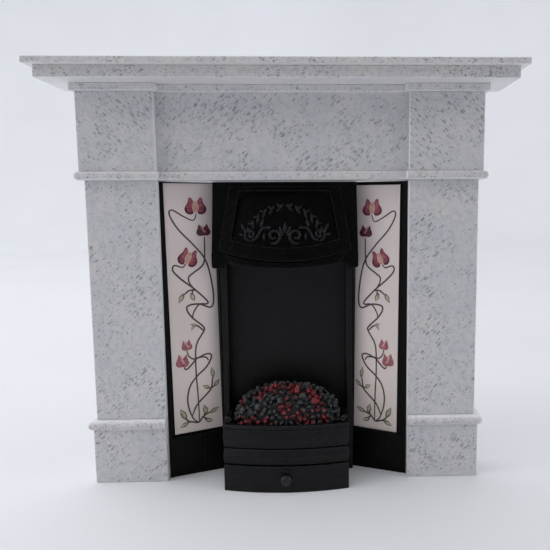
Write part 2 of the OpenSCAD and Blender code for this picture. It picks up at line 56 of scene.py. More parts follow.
class Shader:
    """A material's node tree, built up by short calls."""

    def __init__(self, name):
        self.material = bpy.data.materials.new(name)
        self.material.use_nodes = True
        self.tree = self.material.node_tree
        self.tree.nodes.clear()

    def add(self, kind, inputs=None, **settings):
        node = self.tree.nodes.new(kind)
        for key, value in settings.items():
            setattr(node, key, value)
        for key, value in (inputs or {}).items():
            self.feed(node.inputs[key], value)
        return node

    def feed(self, socket, value):
        if isinstance(value, bpy.types.NodeSocket):
            self.tree.links.new(value, socket)
        elif socket.type == "RGBA" and len(value) == 3:
            socket.default_value = (*value, 1)
        else:
            socket.default_value = value

    def math(self, operation, *values, clamp=False):
        node = self.add("ShaderNodeMath", dict(enumerate(values)), operation=operation, use_clamp=clamp)
        return node.outputs[0]

    def ramp(self, value, low, high, to_low=0.0, to_high=1.0):
        """Smooth step from to_low at low to to_high at high."""
        node = self.add(
            "ShaderNodeMapRange",
            {"Value": value, "From Min": low, "From Max": high, "To Min": to_low, "To Max": to_high},
            interpolation_type="SMOOTHSTEP",
        )
        return node.outputs[0]

    def dot(self, vector, direction):
        node = self.add("ShaderNodeVectorMath", {0: vector, 1: direction}, operation="DOT_PRODUCT")
        return node.outputs["Value"]

    def mix(self, factor, a, b, blend="MIX"):
        node = self.add("ShaderNodeMix", data_type="RGBA", blend_type=blend)
        self.feed(node.inputs[0], factor)
        self.feed(node.inputs[6], a)
        self.feed(node.inputs[7], b)
        return node.outputs[2]

    def place(self):
        """Position on the piece at rest, in millimetres."""
        where = self.add("ShaderNodeTexCoord").outputs["Object"]
        return self.add("ShaderNodeVectorMath", {0: where, "Scale": 1 / MM}, operation="SCALE").outputs[0]

    def face_normal(self):
        return self.add("ShaderNodeNewGeometry").outputs["True Normal"]

    def edges(self, radius, soft=0.9, hard=0.99):
        """Mask of a band about radius mm wide along the piece's edges."""
        rounded = self.add("ShaderNodeBevel", {"Radius": radius * MM}, samples=6).outputs[0]
        return self.ramp(self.dot(rounded, self.face_normal()), soft, hard, 1.0, 0.0)

    def noise(self, place, scale, detail=3.0, rough=0.5):
        node = self.add(
            "ShaderNodeTexNoise",
            {"Vector": place, "Scale": scale, "Detail": detail, "Roughness": rough},
        )
        return node.outputs["Fac"]

    def wave(self, value, pitch):
        """A wave between -1 and 1 that repeats every pitch millimetres of value."""
        return self.math("SINE", self.math("MULTIPLY", value, 2 * math.pi / pitch))

    def surface(self, colour, roughness, height, specular=0.5):
        """Closes the tree. Height is in millimetres."""
        bump = self.add("ShaderNodeBump", {"Strength": 1.0, "Distance": MM, "Height": height})
        skin = self.add(
            "ShaderNodeBsdfPrincipled",
            {
                "Base Color": colour,
                "Roughness": roughness,
                "Specular IOR Level": specular,
                "Normal": bump.outputs[0],
            },
        )
        self.add("ShaderNodeOutputMaterial", {"Surface": skin.outputs[0]})
        return self.material


# For a part printed upwards along Y or Z: its up, right and over directions
AXES = {"Y": ((0, 1, 0), (1, 0, 0), (0, 0, 1)), "Z": ((0, 0, 1), (1, 0, 0), (0, 1, 0))}
STRAND_PITCH = 0.42


def print_lines(sh, place, build, angle, layer, layer_depth, strand_depth):
    """Height, in mm, of a printed part's layer edges and top strands, and the wave of the strands alone."""
    up, right, over = AXES[build]
    turn = math.radians(angle)
    across = tuple(over[i] * math.cos(turn) - right[i] * math.sin(turn) for i in range(3))
    facing = sh.math("ABSOLUTE", sh.dot(sh.face_normal(), up))
    flat = sh.ramp(facing, 0.990, 0.999)
    wobble = sh.math("MULTIPLY", sh.noise(place, 0.35, 2), 0.35)
    strands = sh.wave(sh.math("ADD", sh.dot(place, across), wobble), STRAND_PITCH)
    layers = sh.wave(sh.dot(place, up), layer)
    strand_height = sh.math("MULTIPLY", sh.math("MULTIPLY", strands, flat), strand_depth)
    side = sh.math("SUBTRACT", 1.0, flat)
    layer_height = sh.math("MULTIPLY", sh.math("MULTIPLY", layers, side), layer_depth)
    return sh.math("ADD", strand_height, layer_height), sh.math("MULTIPLY", strands, flat)


def flecks(sh, place, build, angle, length, width, size, seed):
    """Mask of short dark dashes that lie along the strands."""
    up, right, over = AXES[build]
    turn = math.radians(angle)
    along = tuple(right[i] * math.cos(turn) + over[i] * math.sin(turn) for i in range(3))
    across = tuple(over[i] * math.cos(turn) - right[i] * math.sin(turn) for i in range(3))
    u = sh.math("DIVIDE", sh.dot(place, along), length)
    v = sh.math("DIVIDE", sh.dot(place, across), width)
    w = sh.math("ADD", sh.math("DIVIDE", sh.dot(place, up), width), seed)
    cell = sh.add("ShaderNodeCombineXYZ", {0: u, 1: v, 2: w}).outputs[0]
    spots = sh.add("ShaderNodeTexVoronoi", {"Vector": cell, "Scale": 1.0, "Randomness": 1.0})
    luck = sh.add("ShaderNodeSeparateXYZ", {0: spots.outputs["Color"]})
    crowd = sh.ramp(sh.noise(place, 0.28, 2), 0.3, 0.7, 0.55, 1.25)
    reach = sh.math("MULTIPLY", sh.ramp(luck.outputs[0], 0.0, 1.0, size * 0.35, size), crowd)
    share = sh.math("DIVIDE", spots.outputs["Distance"], reach)
    strength = sh.ramp(luck.outputs[1], 0.0, 1.0, 0.4, 1.0)
    return sh.math("MULTIPLY", sh.ramp(share, 0.65, 1.0, 1.0, 0.0), strength)


STONE_COOL = (0.57, 0.567, 0.588)
STONE_WARM = (0.61, 0.597, 0.596)
FLECK_PALE = (0.40, 0.41, 0.435)
FLECK_DARK = (0.17, 0.176, 0.195)
STRAND_SHADE = (0.25, 0.26, 0.29)
# Colour of the painted highlight on the stone's sides, undersides and edges
STONE_PAINTED_HIGHLIGHT = (0.86, 0.87, 0.89)
STONE_LAYER = 0.2


def stone_material(name, build, angle, painted_light_tint=(1.0, 1.0, 1.0)):
    """Pale grey plastic, mottled and full of small darker flecks, with painted highlights paling its edges
    and sides, and a colour scale that paints light on pieces in shade.
    """
    sh = Shader(name)
    place = sh.place()
    height, strands = print_lines(sh, place, build, angle, STONE_LAYER, 0.006, 0.005)
    # Scaling the stone's colour up paints light on it.
    cool = tuple(c * t for c, t in zip(STONE_COOL, painted_light_tint))
    warm = tuple(c * t for c, t in zip(STONE_WARM, painted_light_tint))
    body = sh.mix(sh.ramp(sh.noise(place, 0.3, 4), 0.35, 0.65), cool, warm)
    body = sh.mix(sh.ramp(sh.noise(place, 1.3, 4, 0.65), 0.42, 0.68, 0.0, 0.42), body, FLECK_PALE)
    body = sh.mix(sh.ramp(strands, -1.0, 1.0, 0.0, 0.04), body, STRAND_SHADE)
    for length, width, size, seed, strength, ink in (
        (0.48, 0.23, 0.45, 41.7, 0.62, FLECK_PALE),
        (0.72, 0.3, 0.43, 12.9, 0.66, FLECK_DARK),
        (1.05, 0.42, 0.39, 3.3, 0.66, FLECK_DARK),
    ):
        mask = flecks(sh, place, build, angle, length, width, size, seed)
        body = sh.mix(sh.math("MULTIPLY", mask, strength), body, ink)
    # Painted highlight: faces turned away from the room and a band along every edge are painted paler.
    turned = sh.ramp(sh.math("ABSOLUTE", sh.dot(sh.face_normal(), (0.0, 1.0, 0.0))), 0.5, 0.95, 0.6, 0.0)
    body = sh.mix(sh.math("MAXIMUM", turned, sh.math("MULTIPLY", sh.edges(0.2), 0.6)), body, STONE_PAINTED_HIGHLIGHT)
    height = sh.math("ADD", height, sh.math("MULTIPLY", sh.noise(place, 4.0, 3), 0.012))
    roughness = sh.ramp(sh.noise(place, 1.2, 3), 0.3, 0.7, 0.46, 0.6)
    return sh.surface(body, roughness, height, 0.4)


BLACK_DARK = (0.0026, 0.0027, 0.0031)
BLACK_PALE = (0.0058, 0.006, 0.0067)
BLACK_SCUFF = (0.024, 0.025, 0.027)
# Colour of the painted highlight along the black plastic's edges
BLACK_EDGE_HIGHLIGHT = (0.06, 0.062, 0.068)


def black_material(
    name, build, angle, layer=0.2, shade=1.0, strand_depth=0.008, layer_depth=0.008, sheen=0.2, edge_highlight_strength=0.55
):
    """Black plastic with a faint sheen along its print lines and painted highlights on its edges; its colour
    is scaled by shade, which paints shade below 1 and light above 1.
    """
    sh = Shader(name)
    place = sh.place()
    height, strands = print_lines(sh, place, build, angle, layer, layer_depth, strand_depth)
    dust = sh.noise(place, 1.6, 5, 0.6)
    # Scaling the black by shade paints it: painted shade below 1, painted light above 1.
    dark = tuple(c * shade for c in BLACK_DARK)
    pale = tuple(c * shade for c in BLACK_PALE)
    body = sh.mix(sh.ramp(dust, 0.35, 0.75), dark, pale)
    scuff = sh.ramp(sh.noise(place, 5.0, 4, 0.7), 0.62, 0.8)
    body = sh.mix(sh.math("MULTIPLY", scuff, 0.25), body, BLACK_SCUFF)
    # Painted highlight: the edges are painted paler, in patches.
    patches = sh.ramp(sh.noise(place, 2.3, 4, 0.7), 0.35, 0.65, 0.15, 1.0)
    edge_highlight = sh.math("MULTIPLY", sh.edges(0.13), patches)
    body = sh.mix(sh.math("MULTIPLY", edge_highlight, edge_highlight_strength), body, BLACK_EDGE_HIGHLIGHT)
    height = sh.math("ADD", height, sh.math("MULTIPLY", sh.noise(place, 3.0, 4, 0.6), 0.03))
    roughness = sh.ramp(dust, 0.3, 0.7, 0.36, 0.5)
    return sh.surface(body, roughness, height, sheen)


def paper_material(name):
    """The printed card of a tile panel: pinkish white, creamier towards its foot, with a fine tooth."""
    sh = Shader(name)
    place = sh.place()
    cloud = sh.noise(place, 0.25, 4)
    body = sh.mix(sh.ramp(cloud, 0.3, 0.7), (0.695, 0.603, 0.59), (0.735, 0.642, 0.62))
    body = sh.mix(sh.ramp(sh.dot(place, (0.0, 0.0, 1.0)), 6.0, 30.0, 0.7, 0.0), body, (0.735, 0.655, 0.59))
    tooth = sh.noise(place, 6.0, 4, 0.65)
    body = sh.mix(sh.math("MULTIPLY", sh.ramp(tooth, 0.4, 0.7), 0.22), body, (0.57, 0.495, 0.475))
    return sh.surface(body, sh.ramp(tooth, 0.3, 0.7, 0.4, 0.55), sh.math("MULTIPLY", tooth, 0.006), 0.4)


def ink_material(name, dark, pale, scale=2.4):
    """Printed ink, uneven as it takes to the card."""
    sh = Shader(name)
    place = sh.place()
    grain = sh.noise(place, scale, 4, 0.6)
    body = sh.mix(sh.ramp(grain, 0.35, 0.65), dark, pale)
    tooth = sh.noise(place, 6.0, 4, 0.65)
    return sh.surface(body, sh.ramp(tooth, 0.3, 0.7, 0.35, 0.5), sh.math("MULTIPLY", tooth, 0.004), 0.4)


def coal_material(name):
    """Black lumps, dusted grey with painted light on their crowns, and painted red where the ember layer says
    so.
    """
    sh = Shader(name)
    place = sh.place()
    grain = sh.noise(place, 3.5, 5, 0.65)
    body = sh.mix(sh.ramp(grain, 0.35, 0.7), (0.006, 0.006, 0.007), (0.035, 0.038, 0.04))
    # The dust attribute pales the lumps' tops: grey dust and painted light.
    dust = sh.add("ShaderNodeAttribute", attribute_name="dust").outputs["Fac"]
    body = sh.mix(sh.math("MULTIPLY", dust, sh.ramp(grain, 0.4, 0.7)), body, (0.105, 0.115, 0.112))
    ember = sh.add("ShaderNodeAttribute", attribute_name="ember").outputs["Fac"]
    edge = sh.math("ADD", ember, sh.math("MULTIPLY", sh.math("SUBTRACT", sh.noise(place, 2.2, 3), 0.5), 0.9))
    red = sh.mix(sh.ramp(sh.noise(place, 1.7, 2), 0.35, 0.65), (0.03, 0.006, 0.008), (0.25, 0.02, 0.028))
    body = sh.mix(sh.ramp(edge, 0.45, 0.6), body, red)
    height = sh.math("MULTIPLY", sh.noise(place, 5.0, 4, 0.7), 0.05)
    return sh.surface(body, sh.ramp(grain, 0.3, 0.7, 0.45, 0.75), height, 0.35)


# ---------- the CAD nodes that stay ----------


def dress(node, material, bevel):
    """Gives a CAD node its material, and rounds its edges by bevel millimetres."""
    piece = nodes[node]
    piece.data.materials.clear()
    piece.data.materials.append(material)
    weld = piece.modifiers.new("weld", "WELD")
    weld.merge_threshold = 1e-6
    flat = piece.modifiers.new("flat", "DECIMATE")
    flat.decimate_type = "DISSOLVE"
    flat.angle_limit = math.radians(0.4)
    if bevel:
        edge = piece.modifiers.new("edge", "BEVEL")
        edge.width = bevel * MM
        edge.segments = 3
        edge.limit_method = "ANGLE"
        edge.angle_limit = math.radians(35)
        edge.use_clamp_overlap = True
    smooth = piece.modifiers.new("smooth", "WEIGHTED_NORMAL")
    smooth.keep_sharp = True


stone = {
    # The shelf-printed pieces are made lighter and a little warmer: painted light against the shadow under
    # the shelf's overhang.
    "shelf": stone_material("stone_shelf", "Z", 45, (1.09, 1.07, 1.05)),
    "rising": stone_material("stone_rising", "Y", 45),
    "falling": stone_material("stone_falling", "Y", -45),
}
for node, kind, bevel in (
    ("mantel_shelf", "shelf", 0.14),
    ("cornice_slab", "shelf", 0.14),
    ("bed_mould", "shelf", 0.12),
    ("frieze_panel", "rising", 0.08),
    ("frieze_block_left", "falling", 0.12),
    ("frieze_block_right", "falling", 0.12),
    ("necking_mould", "shelf", 0.08),
    ("jamb_left", "rising", 0.14),
    ("jamb_right", "rising", 0.14),
    ("plinth_mould_left", "shelf", 0.08),
    ("plinth_mould_right", "shelf", 0.08),
    ("plinth_left", "rising", 0.14),
    ("plinth_right", "rising", 0.14),
):
    dress(node, stone[kind], bevel)

iron_panel = black_material("black_panel", "Y", -45)
# The cheeks and the hood are painted darker than the other black: painted shade.
iron_cheek = black_material("black_cheek", "Y", -45, shade=0.5, layer_depth=0.006, sheen=0.1, edge_highlight_strength=0.25)
iron_hood = black_material("black_hood", "Y", -45, shade=0.6, strand_depth=0.006, sheen=0.07, edge_highlight_strength=0.8)
# The scrollwork is painted lighter than the other black: painted light.
iron_relief = black_material("black_relief", "Y", -45, shade=1.8, sheen=0.2, edge_highlight_strength=1.0)
iron_basket = black_material("black_basket", "Z", 45, layer=0.25, layer_depth=0.014, sheen=0.21, edge_highlight_strength=0.9)
card = paper_material("tile_card")
for node, material, bevel in (
    ("fireback", iron_panel, 0.05),
    ("cheek_left", iron_cheek, 0.06),
    ("cheek_right", iron_cheek, 0.06),
    ("opening_stile_left", iron_panel, 0.05),
    ("opening_stile_right", iron_panel, 0.05),
    ("hood_plate", iron_hood, 0.07),
    ("hood_canopy", iron_hood, 0.1),
    ("basket_body", iron_basket, 0.06),
    ("basket_mid_bar", iron_basket, 0.0),
    ("basket_top_bar", iron_basket, 0.06),
    ("ash_pan", iron_basket, 0.08),
    ("tile_panel_left", card, 0.02),
    ("tile_panel_right", card, 0.02),
):
    dress(node, material, bevel)


# ---------- new pieces ----------


def finish_piece(name, mesh_source, materials, body, stands_for=(), smooth=True):
    """Turns a bmesh in millimetres into a piece that rides on a body."""
    bmesh.ops.recalc_face_normals(mesh_source, faces=mesh_source.faces)
    mesh = bpy.data.meshes.new(name)
    mesh_source.to_mesh(mesh)
    mesh_source.free()
    mesh.transform(Matrix.Scale(MM, 4))
    for material in materials:
        mesh.materials.append(material)
    if smooth:
        mesh.shade_smooth()
    else:
        mesh.shade_flat()
    piece = bpy.data.objects.new(name, mesh)
    scene.collection.objects.link(piece)
    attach(piece, body)
    if stands_for:
        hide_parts(*stands_for)
    return piece


def smooth_path(points, steps=8, closed=False):
    """Catmull-Rom curve through 2-D points."""
    count = len(points)
    path = []
    for i in range(count if closed else count - 1):
        around = [j % count if closed else min(max(j, 0), count - 1) for j in range(i - 1, i + 3)]
        a, b, c, d = (Vector(points[j]) for j in around)
        for k in range(steps):
            t = k / steps
            square = (2 * a - 5 * b + 4 * c - d) * t * t
            cube = (3 * b - a - 3 * c + d) * t ** 3
            path.append(0.5 * ((2 * b) + (c - a) * t + square + cube))
    if not closed:
        path.append(Vector(points[-1]))
    return path


def path_normal(path, i):
    step = path[min(i + 1, len(path) - 1)] - path[max(i - 1, 0)]
    step.normalize()
    return Vector((-step.y, step.x))


# ---------- the hood's scrollwork ----------

# The hood's sunk panel, in millimetres: how far its plate stands out, where the panel's top edge is, how far
# the panel stands off the plate, the radius that it bows to, and the angle that it leans out at
HOOD = {"plate_front": 3.2, "top": 39.25, "out": 0.15, "bow": 40.0, "lean": math.atan(1.95 / 9.7)}
# How deep the relief's shapes are sunk into the panel
RELIEF_SINK = 0.06


def on_hood(x, z, lift):
    """A point lift millimetres above the hood's sunk panel."""
    bow, lean = HOOD["bow"], HOOD["lean"]
    root = math.sqrt(bow * bow - x * x)
    back = bow - root
    y = back * math.cos(lean) + math.tan(lean) * (z - HOOD["top"] + back * math.sin(lean))
    point = Vector((x, y - HOOD["plate_front"] - HOOD["out"], z))
    outward = Vector((x / bow, -root / bow * math.cos(lean), root / bow * math.sin(lean)))
    return point + outward * lift


def relief_strip(bm, path, widths, heights, sections=7):
    """A rounded strip along a path, sunk a little into the panel, with both ends closed."""
    rings = []
    for i, point in enumerate(path):
        side = path_normal(path, i)
        ring = []
        for j in range(sections):
            turn = math.pi * j / (sections - 1)
            at = point + side * (widths[i] / 2 * math.cos(turn))
            ring.append(bm.verts.new(on_hood(at.x, at.y, heights[i] * math.sin(turn) - RELIEF_SINK)))
        rings.append(ring)
    for a, b in zip(rings, rings[1:]):
        for j in range(sections):
            k = (j + 1) % sections
            bm.faces.new((a[j], a[k], b[k], b[j]))
    bm.faces.new(rings[0])
    bm.faces.new(rings[-1][::-1])


def spiral(x, z, first_r, last_r, first_angle, last_angle, steps=30):
    """A curl about a point, between two radii and two angles in degrees."""
    path = []
    for i in range(steps + 1):
        t = i / steps
        turn = math.radians(first_angle + (last_angle - first_angle) * t)
        r = first_r + (last_r - first_r) * t
        path.append(Vector((x + r * math.cos(turn), z + r * math.sin(turn))))
    return path


def strip(bm, path, first_width, last_width, height=0.36):
    """A scroll's stem: full in the middle, rounded off at its ends."""
    last = len(path) - 1
    widths, heights = [], []
    for i in range(len(path)):
        t = i / last
        end = min(1.0, 0.35 + 8 * min(t, 1 - t))
        widths.append((first_width + (last_width - first_width) * t) * end)
        heights.append(height * end)
    relief_strip(bm, path, widths, heights)


def bump_leaf(bm, x, z, angle, length, width, height=0.34):
    """A domed, pointed leaf."""
    turn = math.radians(angle)
    steps = 8
    path, widths, heights = [], [], []
    for i in range(steps + 1):
        t = i / steps
        path.append(Vector((x + length * t * math.cos(turn), z + length * t * math.sin(turn))))
        full = max(0.12, math.sin(math.pi * min(1, t * 0.9 + 0.1)) ** 0.8)
        widths.append(width * full)
        heights.append(height * (0.4 + 0.6 * full))
    relief_strip(bm, path, widths, heights)


# The garland over the scrolls: the leaves on each half of its arch, and that arch's size and foot
GARLAND_LEAVES = 6
GARLAND_W, GARLAND_H, GARLAND_Z = 5.0, 4.7, 31.85

scroll = bmesh.new()
for side in (-1, 1):
    half = bmesh.new()
    strip(half, spiral(1.45, 32.85, 0.2, 1.02, 200, 650), 0.34, 0.46)
    tail = [(1.8, 33.8), (2.35, 33.95), (2.95, 33.75), (3.4, 33.1), (3.75, 32.55), (4.4, 32.2)]
    strip(half, smooth_path(tail, 6), 0.42, 0.4)
    strip(half, spiral(4.5, 33.0, 0.18, 0.8, 20, -450), 0.3, 0.4)
    bump_leaf(half, 5.15, 33.4, 62, 1.15, 0.5)
    bump_leaf(half, 5.35, 32.9, 20, 0.7, 0.4)
    bump_leaf(half, 0.3, 32.9, 72, 1.25, 0.5)
    bump_leaf(half, 3.1, 34.0, 105, 1.1, 0.5)
    bump_leaf(half, 2.7, 33.2, 270, 0.9, 0.4)
    for i in range(GARLAND_LEAVES):
        at = 84 - 12.5 * i
        x = GARLAND_W * math.cos(math.radians(at))
        z = GARLAND_Z + GARLAND_H * math.sin(math.radians(at))
        bump_leaf(half, x, z, at - 125, 0.8, 0.42, 0.3)
        bump_leaf(half, x, z, at - 40, 0.75, 0.4, 0.3)
        bump_leaf(half, x, z, at + 40, 0.55, 0.36, 0.26)
    if side < 0:
        bmesh.ops.scale(half, vec=(-1, 1, 1), verts=half.verts)
    part = bpy.data.meshes.new("half")
    half.to_mesh(part)
    half.free()
    scroll.from_mesh(part)
bump_leaf(scroll, 0, 33.25, 90, 1.35, 0.55)
finish_piece("hood_scrollwork", scroll, [iron_relief], "mantel", ("hood_ornament",))


# ---------- the tiles' print ----------

# The print's own width and height, how far it is stretched up at mid height, and the cheeks' splay
PRINT_W, PRINT_H = 6.4, 33.7
PRINT_SWELL = 0.45
SPLAY = math.radians(22)
PRINT_FOOT = 0.001


def card_front(side):
    """The four corners of a card's face, in millimetres: outer and inner at the foot, then at the top."""
    out = Vector((-side * math.sin(SPLAY), -math.cos(SPLAY), 0))
    mesh = nodes["tile_panel_left" if side < 0 else "tile_panel_right"].data
    spots = {tuple(round(c / MM, 3) for c in v.co) for v in mesh.vertices}
    face = sorted(spots, key=lambda p: -out.dot(Vector(p)))[:4]
    face.sort(key=lambda p: p[2])
    rows = [sorted(row, key=lambda p: -abs(p[0])) for row in (face[:2], face[2:])]
    return [Vector(p) for row in rows for p in row], out


CARDS = {side: card_front(side) for side in (-1, 1)}


def on_card(side, u, z, lift):
    """A point lift mm off the card, u from its outer edge and z above its foot."""
    (foot_outer, foot_inner, top_outer, top_inner), out = CARDS[side]
    across, up = u / PRINT_W, (z + PRINT_SWELL * math.sin(math.pi * z / PRINT_H)) / PRINT_H
    return foot_outer.lerp(foot_inner, across).lerp(top_outer.lerp(top_inner, across), up) + out * lift


# The inks in the order that they lie over one another, and how far each one stands off the card
INKS = ("stem", "leaf", "leaf_pale", "petal", "petal_light", "petal_dark", "pink", "peach")
LIFT = {ink: 0.010 + 0.002 * i for i, ink in enumerate(INKS)}


def print_shape(bm, side, outline, ink):
    """A printed patch: a thin closed sheet with the given outline."""
    low = [bm.verts.new(on_card(side, p[0], p[1], PRINT_FOOT)) for p in outline]
    high = [bm.verts.new(on_card(side, p[0], p[1], LIFT[ink])) for p in outline]
    faces = []
    for a, b, c in tessellate_polygon([[Vector((p[0], p[1], 0)) for p in outline]]):
        faces.append(bm.faces.new((high[a], high[b], high[c])))
        faces.append(bm.faces.new((low[c], low[b], low[a])))
    count = len(outline)
    for i in range(count):
        j = (i + 1) % count
        faces.append(bm.faces.new((low[i], low[j], high[j], high[i])))
    for face in faces:
        face.material_index = INKS.index(ink)


def print_stem(bm, side, points, width=0.23, taper=0.5):
    """A stem that thins towards both ends."""
    path = smooth_path(points, 7)
    last = len(path) - 1
    left, right = [], []
    for i, point in enumerate(path):
        t = i / last
        half = width / 2 * (taper + (1 - taper) * math.sin(math.pi * t) ** 0.4)
        n = path_normal(path, i) * half
        left.append(point + n)
        right.append(point - n)
    rails = [
        [[bm.verts.new(on_card(side, p.x, p.y, h)) for p in rail] for h in (PRINT_FOOT, LIFT["stem"])]
        for rail in (left, right)
    ]
    (l_low, l_high), (r_low, r_high) = rails
    for i in range(last):
        for quad in (
            (l_high[i], l_high[i + 1], r_high[i + 1], r_high[i]),
            (r_low[i], r_low[i + 1], l_low[i + 1], l_low[i]),
            (l_low[i], l_low[i + 1], l_high[i + 1], l_high[i]),
            (r_high[i], r_high[i + 1], r_low[i + 1], r_low[i]),
        ):
            bm.faces.new(quad)
    bm.faces.new((l_low[0], l_high[0], r_high[0], r_low[0]))
    bm.faces.new((r_low[last], r_high[last], l_high[last], l_low[last]))


def turned(points, u, z, angle, width, height):
    turn = math.radians(angle)
    out = []
    for px, pz in points:
        x, y = px * width, pz * height
        out.append((u + x * math.cos(turn) - y * math.sin(turn), z + x * math.sin(turn) + y * math.cos(turn)))
    return out


# Petal outlines, one unit wide and high, about the flower's middle
WING = [
    (-0.30, 0.49), (-0.21, 0.50), (-0.11, 0.33), (-0.085, 0.14), (-0.12, -0.12), (-0.10, -0.30),
    (-0.12, -0.46), (-0.28, -0.50), (-0.43, -0.40), (-0.50, -0.21), (-0.465, -0.01), (-0.37, 0.16),
    (-0.33, 0.31),
]
WING_LIGHT = [(-0.27, 0.38), (-0.20, 0.36), (-0.17, 0.18), (-0.22, -0.02), (-0.29, -0.14), (-0.28, 0.10)]
WING_DARK = [
    (-0.46, -0.06), (-0.49, -0.22), (-0.42, -0.40), (-0.28, -0.49), (-0.13, -0.45), (-0.12, -0.34),
    (-0.25, -0.37), (-0.36, -0.26), (-0.40, -0.08),
]
HEART = [
    (0.0, -0.38), (0.09, -0.33), (0.155, -0.15), (0.16, 0.02), (0.10, 0.24), (0.0, 0.31), (-0.10, 0.24),
    (-0.16, 0.02), (-0.155, -0.15), (-0.09, -0.33),
]
BUD_WING = [
    (-0.29, 0.50), (-0.18, 0.36), (-0.05, 0.22), (0.02, -0.10), (0.02, -0.44), (-0.24, -0.50), (-0.45, -0.38),
    (-0.50, -0.14), (-0.38, 0.18),
]
BUD_HEART = [
    (-0.20, 0.34), (-0.09, 0.37), (0.04, 0.10), (0.17, -0.14), (0.12, -0.26), (0.0, -0.20), (-0.10, 0.02),
]
LEAF = [
    (0.0, -0.5), (0.3, -0.28), (0.42, 0.05), (0.2, 0.34), (0.0, 0.55), (-0.24, 0.3), (-0.4, 0.0),
    (-0.28, -0.3),
]
LEAF_LIGHT = [(0.03, -0.28), (0.25, -0.02), (0.15, 0.25), (0.0, 0.46), (-0.13, 0.22), (-0.2, -0.05)]


def mirrored(points):
    return [(-x, y) for x, y in points]


PETAL_INKS = {"open": ("petal", "peach"), "bud": ("petal_dark", "pink"), "small": ("petal_light", "peach")}


def print_flower(bm, side, u, z, angle, width, height, kind):
    """Two curled petals about a speckled heart, or a closed bud."""
    wing, heart = (WING, HEART) if kind == "open" else (BUD_WING, BUD_HEART)
    wing_ink, heart_ink = PETAL_INKS[kind]
    for flip in (False, True):
        shapes = [(wing, wing_ink)]
        if kind == "open":
            shapes += [(WING_LIGHT, "petal_light"), (WING_DARK, "petal_dark")]
        for points, ink in shapes:
            points = mirrored(points) if flip else points
            print_shape(bm, side, smooth_path(turned(points, u, z, angle, width, height), 4, True), ink)
    print_shape(bm, side, smooth_path(turned(heart, u, z, angle, width, height), 4, True), heart_ink)


def print_leaf(bm, side, u, z, angle, width, height):
    print_shape(bm, side, smooth_path(turned(LEAF, u, z, angle, width, height), 4, True), "leaf")
    print_shape(bm, side, smooth_path(turned(LEAF_LIGHT, u, z, angle, width, height), 4, True), "leaf_pale")


# The stems' courses: distance from the card's outer edge, and height above its foot
STEMS = (
    [
        (4.05, 29.6), (3.6, 28.65), (2.3, 29.25), (0.95, 30.1), (0.62, 29.45), (1.6, 27.5), (3.4, 25.4),
        (4.85, 23.4), (5.5, 21.2), (5.85, 18.0), (5.45, 16.6), (3.9, 17.15), (2.5, 17.05), (2.3, 16.4),
        (3.0, 15.3), (4.3, 14.05), (4.35, 13.4), (3.45, 12.0), (3.15, 10.6), (3.1, 7.6), (3.2, 5.3),
        (3.25, 2.9), (3.25, 1.3),
    ],
    [(4.95, 26.4), (4.88, 23.6), (4.55, 22.4), (3.25, 21.4), (2.7, 20.9), (2.75, 20.15), (3.3, 19.3)],
    [
        (2.4, 22.75), (1.95, 22.3), (0.95, 22.6), (0.72, 21.9), (1.7, 20.7), (3.3, 19.3), (4.9, 17.6),
        (4.95, 17.1), (3.9, 17.1), (3.15, 16.1), (2.95, 15.3),
    ],
    [
        (2.0, 11.1), (2.27, 10.2), (3.05, 9.75), (4.3, 10.2), (5.05, 10.2), (5.2, 9.7), (4.5, 8.5),
        (3.2, 7.4), (2.25, 6.2), (1.85, 4.7), (1.95, 3.2), (2.5, 1.7), (3.15, 1.15),
    ],
    [(1.55, 8.8), (1.9, 8.5), (2.7, 9.2), (3.35, 9.85), (4.4, 9.85), (4.8, 9.35)],
    [(2.35, 2.15), (3.05, 3.55), (4.5, 4.9), (5.05, 5.6), (5.25, 7.0)],
    [(3.6, 19.05), (2.75, 19.1), (2.0, 18.55)],
    [(3.1, 19.0), (3.1, 18.6)],
    [(4.35, 13.45), (3.7, 14.1), (3.15, 14.35)],
    [(1.25, 1.3), (2.2, 1.35), (3.15, 1.15), (3.9, 1.9), (5.3, 2.45)],
    [(1.3, 2.3), (1.7, 1.6), (2.2, 1.35)],
    [(4.6, 5.6), (5.0, 5.55), (5.65, 5.9)],
    [(3.9, 1.9), (4.1, 2.5)],
    [(3.8, 1.75), (4.4, 1.3)],
)
# Place, angle, width and height of each flower, and its kind
FLOWERS = (
    (3.98, 30.6, 0, 2.85, 2.3, "open"),
    (4.86, 27.3, 3, 1.85, 1.6, "bud"),
    (2.78, 23.6, -20, 2.6, 2.35, "open"),
    (2.03, 11.75, 6, 1.4, 1.4, "small"),
    (1.4, 9.7, -4, 1.7, 1.7, "small"),
)
